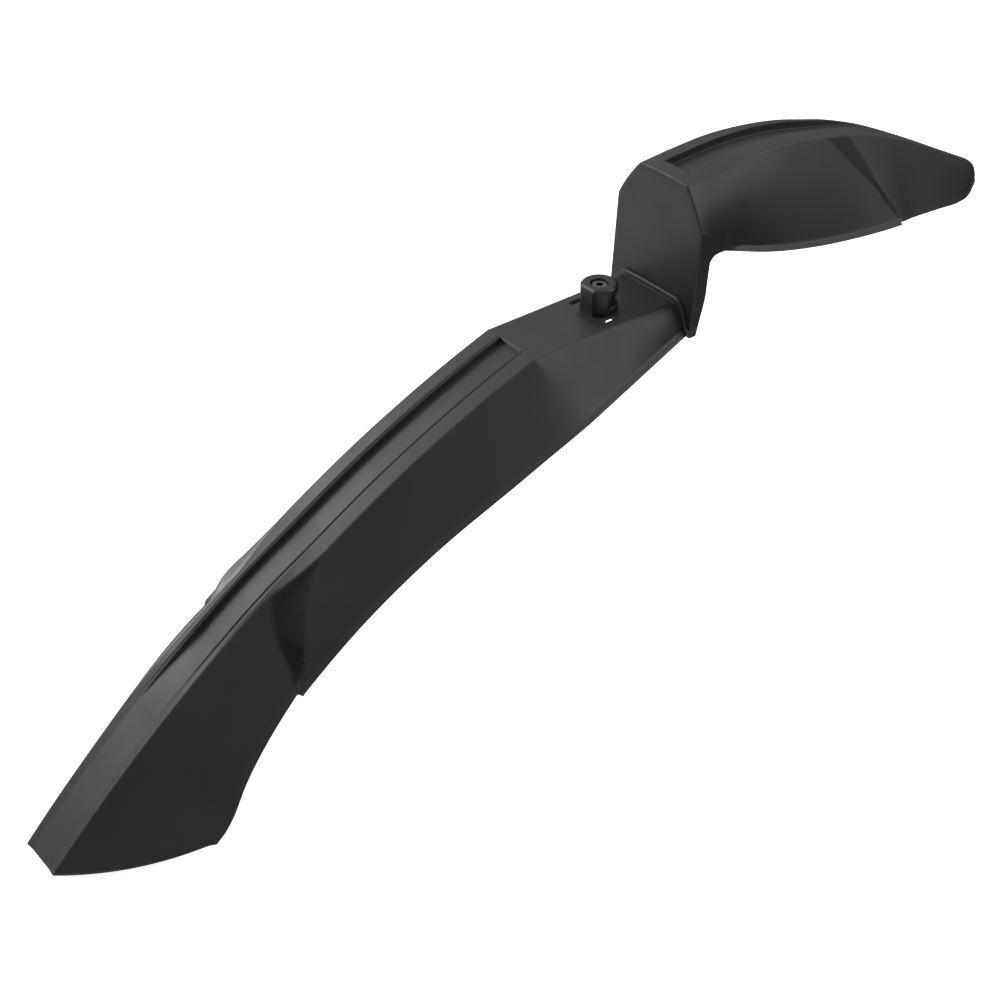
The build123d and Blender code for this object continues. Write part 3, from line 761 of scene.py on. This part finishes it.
def wholeNose(inset):
    s = noseSet
    plateRows, flangeRows, hoodCount, facetCount, tipCount = s["rows"]
    share, foot, footZ = runs["flange"]
    one = np.ones(1)
    # rear plate, from the arch over the crown out to the wall's rounded edge
    z, half, low, halfLow, bulge, flare = s["arch"]
    crown, strip = s["archTop"]
    front, lean = guard["front"], guard["lean"]
    arch = noseSheet(fullRow({
        "xc": one * (front + lean * z), "zc": z, "half": half, "xl": front + lean * low, "zl": low,
        "low": halfLow, "bulge": bulge, "flare": flare, "lip": guard["lip"], "crown": crown, "strip": strip,
    }), 0.0)
    edge = []
    for ahead, margin in runs["edge"].T:
        ahead = inset + ahead * (s["edgeInside"] if inset else 1.0)
        edge.append(noseSheet(legRows(one * ahead, one * ahead, one * footZ[0]), inset or margin))
    edge = np.concatenate(edge)
    t = np.linspace(0, 1, plateRows, endpoint=False)[:, None, None]
    plate = (arch + np.array([inset, 0, 0])) * (1 - t) + edge[:1] * t
    # flanges, the rows fanning out from the crest to the flange's front edge
    u = np.linspace(0, 1, flangeRows, endpoint=False)
    start = foot[0] + inset
    ahead = start + (s["root"] - start) * u
    row = legRows(ahead, np.maximum(np.interp(u, share, foot), start), np.interp(u, share, footZ))
    fan = noseSheet(row, inset)
    below = np.maximum(row["deep"] - (row["zc"] - footZ[-1]) / row["up"][:, 1], 0)
    bowed = dict(row, lip=below + guard["lip"], bulge=0 * ahead + s["rootBow"])
    fan = fan + (noseSheet(bowed, inset) - fan) * rampUp(ahead, *s["shoulderFade"])[:, None, None]
    # hood, then tip
    first, last = runs["hood"][0][[0, -1]]
    turn = runs["tip"][0][0]
    xc = np.linspace(first, turn, hoodCount, endpoint=False)
    xc = np.concatenate((xc, np.linspace(turn, last, facetCount)))
    hood, gloss = hoodAndTip(xc, inset)
    xc = np.linspace(last + s["tipGap"], s["capFrom"] - inset, tipCount)
    tip = noseSheet(tipRows(xc, hermite(xc, *runs["tipLips"])), inset)
    # rounded front: each column runs on in its own direction, turns to their mean and closes on a
    # level line, along a quarter of an ellipse
    turn = np.radians(s["capTurns"])[:, None, None]
    onward = tip[-1:] - tip[-2:-1]
    onward = onward / np.linalg.norm(onward, axis=2, keepdims=True)
    mean = onward.mean(axis=1, keepdims=True) * np.array([1.0, 0.0, 1.0])
    onward = onward + (mean - onward) * np.sin(turn) ** 2
    middle = tip[-1:] * np.array([1.0, s["capWidth"], 0.0])
    middle[..., 2] = tip[-1, -1, 2] + s["capLevel"] * (tip[-1, 0, 2] - tip[-1, -1, 2])
    cap = middle + (tip[-1:] - middle) * np.cos(turn) + s["capReach"] * onward * np.sin(turn)
    half = np.concatenate((plate, edge, fan, hood, tip, cap))
    marks = np.zeros(half.shape[:2])
    at = plateRows + len(edge) + flangeRows
    marks[at:at + len(gloss)] = gloss
    # pocket in the top, running out towards the tip
    margin, full, done = s["pocket"]
    ahead = half[..., 0] - front - lean * half[..., 2]
    sunk = rampUp(ahead, margin - inset - s["pocketSoft"], margin - inset + s["pocketSoft"])
    sunk = sunk * np.clip((done - half[..., 0]) / (done - full), 0, 1)
    width = half[:, creaseColumn, 1, None] * s["tipStrip"][0][1] / guard["channelHalf"]
    side = np.abs(half[..., 1]) / np.minimum(width, 1)
    half[..., 2] -= channelCut(side, s["pocketDepth"] * sunk, inset)
    return bothSides(half, marks)


def noOpenings(middle):
    return np.zeros(middle.shape[:2], bool)


addShell("nose_shell", wholeNose, noOpenings, "front_nose")


# tongue of the nose, clamped under the crown plate

screwHole = 2.75  # radius, in tongue and plug
tongueSet = {
    "rear": -10.0, "front": 43.2, "half": 6.0, "columns": 160,
    # power that squares off a circle, height of the slab's middle
    "square": 0.3, "middle": -3.6,
    # share of the way from the hole to the outline, height
    "outline": ((0.0, -2.4), (0.35, -2.4), (0.7, -2.4), (0.95, -2.42), (0.985, -2.5), (1.0, -2.75),
                (1.0, -4.45), (0.985, -4.7), (0.95, -4.78), (0.7, -4.8), (0.35, -4.8), (0.0, -4.8)),
    # run over which the upper face turns up, and rise
    "web": (40.0, 41.2, 3.4),
}


def buildTongue():
    # slab drawn in rays from the hole to a rounded rectangle; its front end turns up into the wall
    s = tongueSet
    share, z = (part[:, None] for part in np.array(s["outline"]).T)
    middle, long = (s["rear"] + s["front"]) / 2, (s["front"] - s["rear"]) / 2
    turn = np.linspace(0, 2 * math.pi, s["columns"], endpoint=False)[None, :]
    squared = lambda a: np.sign(a) * np.abs(a) ** s["square"]
    edgeX = middle + long * squared(np.cos(turn))
    edgeY = s["half"] * squared(np.sin(turn))
    ray = np.arctan2(edgeY, edgeX)
    x = screwHole * np.cos(ray) * (1 - share) + edgeX * share
    y = screwHole * np.sin(ray) * (1 - share) + edgeY * share
    start, end, rise = s["web"]
    z = z + rise * rampUp(x, start, end) * (z > s["middle"])
    points = np.stack((x, y, z), -1)
    sheets = ringFaces(*x.shape)[:, ::-1]
    addPiece("nose_tongue", points, sheets, sheets[:0], "front_nose", guardPlastic)


buildTongue()


# steerer plug

plugSet = {
    "radius": 11.0, "flat": 9.6, "flatFrom": 8.5, "columns": 128,
    # outline from the hole's lower edge round and back to it: radius and height, on the wall only height
    "foot": ((screwHole, -1.0), (10.5, -1.0), (10.9, -0.85)),
    "wall": (-0.5, 2.0, 3.5, 4.1, 4.5, 4.9, 5.3, 5.8, 6.5, 7.5, 8.5, 9.5, 10.5, 11.5, 12.5, 13.5, 14.5, 15.6),
    "head": ((10.95, 15.95), (10.8, 16.25), (9.95, 17.1), (9.7, 17.25), (9.35, 17.3), (5.7, 17.3),
             (5.35, 17.2), (5.15, 16.9), (5.15, 11.3), (5.05, 11.1), (screwHole, 11.1)),
    # scoop in front: height, depth; and the run over which it deepens
    "scoop": ((3.5, 0.0), (4.1, 0.1), (4.5, 0.4), (4.9, 1.1), (5.3, 1.7), (5.8, 2.0), (7.5, 2.0), (9.5, 1.5),
              (11.5, 0.8), (13.5, 0.1), (14.5, 0.0)), "scoopRun": (-4.0, 5.0),
    "bevelMm": 0.15, "bevelSegments": 2, "bevelTurn": 40.0,
    # keeps a division finite
    "least": 1e-6,
}


def buildPlug():
    # outline turned about z, held back to the flat behind the axis and scooped out above a ledge in front
    s = plugSet
    outline = (*s["foot"], *((s["radius"], z) for z in s["wall"]), *s["head"])
    radius, z = (part[:, None] for part in np.array(outline).T)
    angle = np.linspace(0, 2 * math.pi, s["columns"], endpoint=False)[None, :]
    depth = lookUp(z, s["scoop"]) * (radius == s["radius"])
    r = radius - depth * rampUp(radius * np.cos(angle), *s["scoopRun"])
    flat = s["flat"] - s["radius"] + radius
    behind = np.maximum(-np.cos(angle), s["least"])
    r = np.where(radius > s["flatFrom"], np.minimum(r, flat / behind), r)
    points = np.stack((r * np.cos(angle), r * np.sin(angle), z + 0 * angle), -1)
    sheets = ringFaces(*r.shape)
    piece = addPiece("plug_body", points, sheets, sheets[:0], "steerer_plug", plugPlastic)
    bevel = piece.modifiers.new("edges", "BEVEL")
    bevel.width = s["bevelMm"] * mm
    bevel.segments = s["bevelSegments"]
    bevel.limit_method = "ANGLE"
    bevel.angle_limit = math.radians(s["bevelTurn"])


buildPlug()


# camera, floor and light

stageSet = {
    "eye": (-0.6287, -0.6963, 0.5389), "look": (0.506, 0.634, -0.585), "lens": 66.92, "sensor": 36.0,
    "floorZ": -0.2045, "floorHalf": 6.0, "dimSide": (-0.55, -0.63, 0.54),
    "roomLevels": (0.18, 1.4), "dimLevel": 0.35, "floorLevels": (0.75, 0.05), "floorFade": (0.02, 0.36),
    "paper": (0.8, 0.8, 0.8, 1), "paperGlow": 0.86, "dimFrom": (0.2, 1.0),
    # name, place, what it looks at, size, power
    "lamps": (("far left", (-0.85, 1.15, 0.85), (-0.2, 0, -0.1), (1.3, 1.0), 17.0),
              ("near right", (1.1, -0.95, 1.0), (0, 0, 0), (1.0, 1.0), 7.0)),
}


def placeCamera():
    look = Vector(stageSet["look"]).normalized()
    right = look.cross(Vector((0, 0, 1))).normalized()
    up = right.cross(look)
    data = bpy.data.cameras.new("camera")
    data.lens = stageSet["lens"]
    data.sensor_width = stageSet["sensor"]
    camera = bpy.data.objects.new("camera", data)
    turn = Matrix((right, up, -look)).transposed().to_4x4()
    camera.matrix_world = Matrix.Translation(stageSet["eye"]) @ turn
    bpy.context.scene.collection.objects.link(camera)
    bpy.context.scene.camera = camera


def addFloor():
    # pale floor: white to the camera, with only the deepest part of the soft shadow kept; what the
    # guard mirrors of it is darkened towards the nose, painted shade for the studio's light falling off;
    # from below it is clear
    half = stageSet["floorHalf"]
    z = stageSet["floorZ"]
    mesh = bpy.data.meshes.new("floor")
    corners = [(-half, -half, z), (half, -half, z), (half, half, z), (-half, half, z)]
    mesh.from_pydata(corners, [], [(0, 1, 2, 3)])
    material, tree = newMaterial("pale paper")
    rays = addNode(tree, "ShaderNodeLightPath").outputs["Is Camera Ray"]
    paper = addNode(tree, "ShaderNodeBsdfDiffuse", {"Color": stageSet["paper"]}).outputs["BSDF"]
    glow = addNode(
        tree, "ShaderNodeEmission", {"Color": (1, 1, 1, 1), "Strength": stageSet["paperGlow"]}
    ).outputs["Emission"]
    seen = addNode(tree, "ShaderNodeAddShader", None, {0: paper, 1: glow}).outputs["Shader"]
    place = addNode(tree, "ShaderNodeTexCoord").outputs["Object"]
    x = addNode(tree, "ShaderNodeSeparateXYZ", None, {0: place}).outputs["X"]
    # painted shade: the paper as other rays see it darkens along x, standing in for the studio's light
    # falling off
    (start, end), (left, right) = stageSet["floorFade"], stageSet["floorLevels"]
    level = addNode(
        tree, "ShaderNodeMapRange",
        {"From Min": start, "From Max": end, "To Min": left, "To Max": right}, {"Value": x},
    ).outputs["Result"]
    paintedFalloff = addNode(tree, "ShaderNodeBsdfDiffuse", None, {"Color": level}).outputs["BSDF"]
    mixed = addNode(tree, "ShaderNodeMixShader", None, {0: rays, 1: paintedFalloff, 2: seen}).outputs["Shader"]
    under = addNode(tree, "ShaderNodeNewGeometry").outputs["Backfacing"]
    clear = addNode(tree, "ShaderNodeBsdfTransparent").outputs["BSDF"]
    mixed = addNode(tree, "ShaderNodeMixShader", None, {0: under, 1: mixed, 2: clear}).outputs["Shader"]
    addNode(tree, "ShaderNodeOutputMaterial", None, {"Surface": mixed})
    mesh.materials.append(material)
    floor = bpy.data.objects.new("floor", mesh)
    bpy.context.scene.collection.objects.link(floor)


def addSky():
    # white to the camera; to everything else a room that grows brighter upwards, with a dim side
    # where the camera stands
    world = bpy.data.worlds.new("studio")
    world.use_nodes = True
    tree = world.node_tree
    tree.nodes.clear()
    rays = addNode(tree, "ShaderNodeLightPath").outputs["Is Camera Ray"]
    way = addNode(tree, "ShaderNodeTexCoord").outputs["Generated"]
    facing = addNode(
        tree, "ShaderNodeVectorMath", {"operation": "DOT_PRODUCT", 1: stageSet["dimSide"]}, {0: way}
    ).outputs["Value"]
    start, end = stageSet["dimFrom"]
    shade = addNode(
        tree, "ShaderNodeMapRange",
        {"From Min": start, "From Max": end, "To Min": 1.0, "To Max": stageSet["dimLevel"]},
        {"Value": facing},
    ).outputs["Result"]
    height = addNode(tree, "ShaderNodeSeparateXYZ", None, {0: way}).outputs["Z"]
    low, high = stageSet["roomLevels"]
    rise = addNode(
        tree, "ShaderNodeMapRange", {"To Min": low, "To Max": high}, {"Value": height}
    ).outputs["Result"]
    level = addNode(tree, "ShaderNodeMath", {"operation": "MULTIPLY"}, {0: rise, 1: shade}).outputs["Value"]
    room = addNode(tree, "ShaderNodeBackground", {"Color": (1, 1, 1, 1)}, {"Strength": level})
    white = addNode(tree, "ShaderNodeBackground", {"Color": (1, 1, 1, 1), "Strength": 1.0})
    mixed = addNode(
        tree, "ShaderNodeMixShader", None,
        {0: rays, 1: room.outputs["Background"], 2: white.outputs["Background"]},
    ).outputs["Shader"]
    addNode(tree, "ShaderNodeOutputWorld", None, {"Surface": mixed})
    bpy.context.scene.world = world


def addLamp(name, place, target, size, power):
    data = bpy.data.lights.new(name, "AREA")
    data.shape = "RECTANGLE"
    data.size, data.size_y = size
    data.energy = power
    lamp = bpy.data.objects.new(name, data)
    aim = Vector(target) - Vector(place)
    lamp.matrix_world = Matrix.Translation(place) @ aim.to_track_quat("-Z", "Y").to_matrix().to_4x4()
    bpy.context.scene.collection.objects.link(lamp)


placeCamera()
addFloor()
addSky()
for lamp in stageSet["lamps"]:
    addLamp(*lamp)
bpy.context.scene.view_settings.view_transform = "Standard"

print("scene done")
